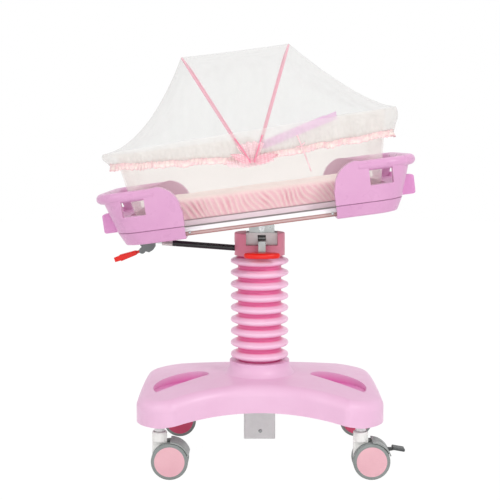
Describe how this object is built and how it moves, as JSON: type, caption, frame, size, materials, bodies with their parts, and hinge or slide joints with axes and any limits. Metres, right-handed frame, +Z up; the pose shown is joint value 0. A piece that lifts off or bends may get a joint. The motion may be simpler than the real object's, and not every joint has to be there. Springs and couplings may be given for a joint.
{
  "type": "hospital bassinet",
  "caption": "Clear bassinet tub in a tilting tray on a bellows-covered gas-lift column, with a wheeled base, folding net canopy and mattress.",
  "frame": {"origin": "middle of the object's box, on the floor", "axes": "+Z up, +X towards the head end, which is the raised end, -Y towards the front"},
  "size_m": [0.8596, 0.4942, 1.1678],
  "materials": {
    "caster_nylon": "satin moulded nylon",
    "caster_tread": "matt grey rubber",
    "caster_disc": "satin moulded",
    "pedal_nylon": "satin moulded",
    "base_moulding": "glossy moulded",
    "frame_steel": "powder coated",
    "column_steel": "polished",
    "foot_enamel": "white enamel",
    "screw_steel": "zinc plated",
    "bush_nylon": "natural nylon",
    "spring_black": "gloss black",
    "spring_rod": "polished",
    "bellows_rubber": "satin",
    "head_moulding": "glossy moulded",
    "bracket_steel": "grey enamel",
    "paddle_steel": "grey enamel",
    "paddle_plastic": "glossy moulded",
    "sleeve_clear": "clear sleeve",
    "release_alloy": "dark enamel",
    "lever_plastic": "glossy moulded",
    "tray_steel": "white enamel",
    "pan_plastic": "white moulded",
    "shroud_moulding": "glossy moulded",
    "bumper_rubber": "satin",
    "tub_acrylic": "clear acrylic",
    "strip_vinyl": "satin vinyl",
    "board_vinyl": "board in a lilac vinyl cover",
    "mattress_cover": "satin quilted cover",
    "net_fabric": "fine white net",
    "hoop_steel": "white enamel",
    "clip_nylon": "white moulded",
    "bow_organza": "dotted organza"
  },
  "bodies": {
    "base": {"base_cover": "base_moulding", "base_frame": "frame_steel", "column_foot": "foot_enamel", "foot_screw": "screw_steel", "outer_column": "column_steel", "column_bush": "bush_nylon", "lift_spring_cylinder": "spring_black"},
    "column": {"inner_column": "column_steel", "lift_spring_rod": "spring_rod", "bellows": "bellows_rubber", "column_head": "head_moulding", "head_bracket": "bracket_steel", "tilt_ears": "bracket_steel", "pivot_bolt": "screw_steel", "spring_clevis": "bracket_steel"},
    "height_paddle": {"paddle_arm": "paddle_steel", "paddle_grip": "paddle_plastic"},
    "tray": {"tray_frame": "tray_steel", "spring_bracket": "tray_steel", "tray_pan": "pan_plastic", "rail_screws": "screw_steel", "right_upper_shroud": "shroud_moulding", "left_upper_shroud": "shroud_moulding", "right_lower_shroud": "shroud_moulding", "left_lower_shroud": "shroud_moulding", "right_bumpers": "bumper_rubber", "left_bumpers": "bumper_rubber"},
    "tilt_spring": {"tilt_spring_tube": "spring_black", "tilt_spring_collar": "sleeve_clear"},
    "tilt_rod": {"tilt_spring_rod": "spring_rod", "release_head": "release_alloy"},
    "release_lever": {"release_lever": "lever_plastic"},
    "tub": {"tub": "tub_acrylic", "tub_edge_guards": "strip_vinyl"},
    "mattress": {"mattress_board": "board_vinyl", "mattress": "mattress_cover"},
    "net": {"net": "net_fabric", "net_ruffle": "net_fabric", "hoop_clips": "clip_nylon", "bow": "bow_organza"},
    "left_hoop": {"left_hoop": "hoop_steel"},
    "right_hoop": {"right_hoop": "hoop_steel"},
    "caster_front_left_fork": {"caster_front_left_housing": "caster_nylon", "caster_front_left_guard": "caster_nylon"},
    "caster_front_left_wheels": {"caster_front_left_tyres": "caster_tread", "caster_front_left_discs": "caster_disc"},
    "caster_front_right_fork": {"caster_front_right_housing": "caster_nylon", "caster_front_right_guard": "caster_nylon"},
    "caster_front_right_wheels": {"caster_front_right_tyres": "caster_tread", "caster_front_right_discs": "caster_disc"},
    "caster_front_right_pedal": {"caster_front_right_pedal": "pedal_nylon"},
    "caster_rear_left_fork": {"caster_rear_left_housing": "caster_nylon", "caster_rear_left_guard": "caster_nylon"},
    "caster_rear_left_wheels": {"caster_rear_left_tyres": "caster_tread", "caster_rear_left_discs": "caster_disc"},
    "caster_rear_left_pedal": {"caster_rear_left_pedal": "pedal_nylon"},
    "caster_rear_right_fork": {"caster_rear_right_housing": "caster_nylon", "caster_rear_right_guard": "caster_nylon"},
    "caster_rear_right_wheels": {"caster_rear_right_tyres": "caster_tread", "caster_rear_right_discs": "caster_disc"}
  },
  "joints": [
    {"name": "column_lift", "type": "slide", "parent": "base", "child": "column", "axis": [0, 0, 1], "range_m": [-0.05, 0.16], "deforming": ["bellows"]},
    {"name": "paddle_squeeze", "type": "hinge", "parent": "column", "child": "height_paddle", "pos_m": [0.01643, -0.012, 0.634], "axis": [-1, 0, 0], "range_deg": [0, 8], "stiffness_Nm_per_rad": 3, "springref_deg": -2.86},
    {"name": "tray_tilt", "type": "hinge", "parent": "column", "child": "tray", "pos_m": [0.01643, 0, 0.6646], "axis": [0, -1, 0], "range_deg": [-7.5, 4.5]},
    {"name": "spring_swing", "type": "hinge", "parent": "column", "child": "tilt_spring", "pos_m": [-0.04327, 0, 0.604], "axis": [0, -1, 0], "range_deg": [-9.5, 6.5]},
    {"name": "spring_stroke", "type": "slide", "parent": "tilt_spring", "child": "tilt_rod", "axis": [-0.9972, 0, 0.075], "range_m": [-0.007, 0.011]},
    {"name": "lever_squeeze", "type": "hinge", "parent": "tilt_rod", "child": "release_lever", "pos_m": [-0.32427, 0, 0.598], "axis": [0, 1, 0], "range_deg": [0, 12], "stiffness_Nm_per_rad": 2, "springref_deg": -2.86},
    {"name": "tub_lift_out", "type": "slide", "parent": "tray", "child": "tub", "axis": [-0.1305, 0, 0.9914], "range_m": [0, 0.2]},
    {"name": "mattress_lift_out", "type": "slide", "parent": "tub", "child": "mattress", "axis": [-0.1305, 0, 0.9914], "range_m": [0, 0.12]},
    {"name": "net_lift_off", "type": "slide", "parent": "tub", "child": "net", "axis": [-0.1305, 0, 0.9914], "range_m": [0, 0.12]},
    {"name": "left_hoop_fold", "type": "hinge", "parent": "net", "child": "left_hoop", "pos_m": [-0.02165, 0, 0.85425], "axis": [0, -1, 0], "range_deg": [0, 50], "deforming": ["net"]},
    {"name": "right_hoop_fold", "type": "hinge", "parent": "net", "child": "right_hoop", "pos_m": [0.00016, 0, 0.85712], "axis": [0, 1, 0], "range_deg": [0, 46.5]},
    {"name": "caster_front_left_swivel", "type": "hinge", "parent": "base", "child": "caster_front_left_fork", "pos_m": [-0.26177, -0.2055, 0.128], "axis": [0, 0, 1], "continuous": true},
    {"name": "caster_front_left_roll", "type": "hinge", "parent": "caster_front_left_fork", "child": "caster_front_left_wheels", "pos_m": [-0.23377, -0.2055, 0.05], "axis": [0, 1, 0], "continuous": true},
    {"name": "caster_front_right_swivel", "type": "hinge", "parent": "base", "child": "caster_front_right_fork", "pos_m": [0.28323, -0.2055, 0.128], "axis": [0, 0, 1], "continuous": true},
    {"name": "caster_front_right_roll", "type": "hinge", "parent": "caster_front_right_fork", "child": "caster_front_right_wheels", "pos_m": [0.31123, -0.2055, 0.05], "axis": [0, 1, 0], "continuous": true},
    {"name": "caster_front_right_brake", "type": "hinge", "parent": "caster_front_right_fork", "child": "caster_front_right_pedal", "pos_m": [0.34223, -0.2055, 0.076], "axis": [0, 1, 0], "range_deg": [0, 14]},
    {"name": "caster_rear_left_swivel", "type": "hinge", "parent": "base", "child": "caster_rear_left_fork", "pos_m": [-0.26177, 0.2055, 0.128], "axis": [0, 0, 1], "continuous": true},
    {"name": "caster_rear_left_roll", "type": "hinge", "parent": "caster_rear_left_fork", "child": "caster_rear_left_wheels", "pos_m": [-0.23377, 0.2055, 0.05], "axis": [0, 1, 0], "continuous": true},
    {"name": "caster_rear_left_brake", "type": "hinge", "parent": "caster_rear_left_fork", "child": "caster_rear_left_pedal", "pos_m": [-0.20277, 0.2055, 0.076], "axis": [0, 1, 0], "range_deg": [0, 14]},
    {"name": "caster_rear_right_swivel", "type": "hinge", "parent": "base", "child": "caster_rear_right_fork", "pos_m": [0.28323, 0.2055, 0.128], "axis": [0, 0, 1], "continuous": true},
    {"name": "caster_rear_right_roll", "type": "hinge", "parent": "caster_rear_right_fork", "child": "caster_rear_right_wheels", "pos_m": [0.31123, 0.2055, 0.05], "axis": [0, 1, 0], "continuous": true}
  ],
  "couplings": [
    {"joint": "spring_swing", "follows": "tray_tilt", "ratio": 1.19},
    {"joint": "spring_stroke", "follows": "tray_tilt", "m_per_rad": -0.0655},
    {"joint": "right_hoop_fold", "follows": "left_hoop_fold", "ratio": 0.92}
  ]
}
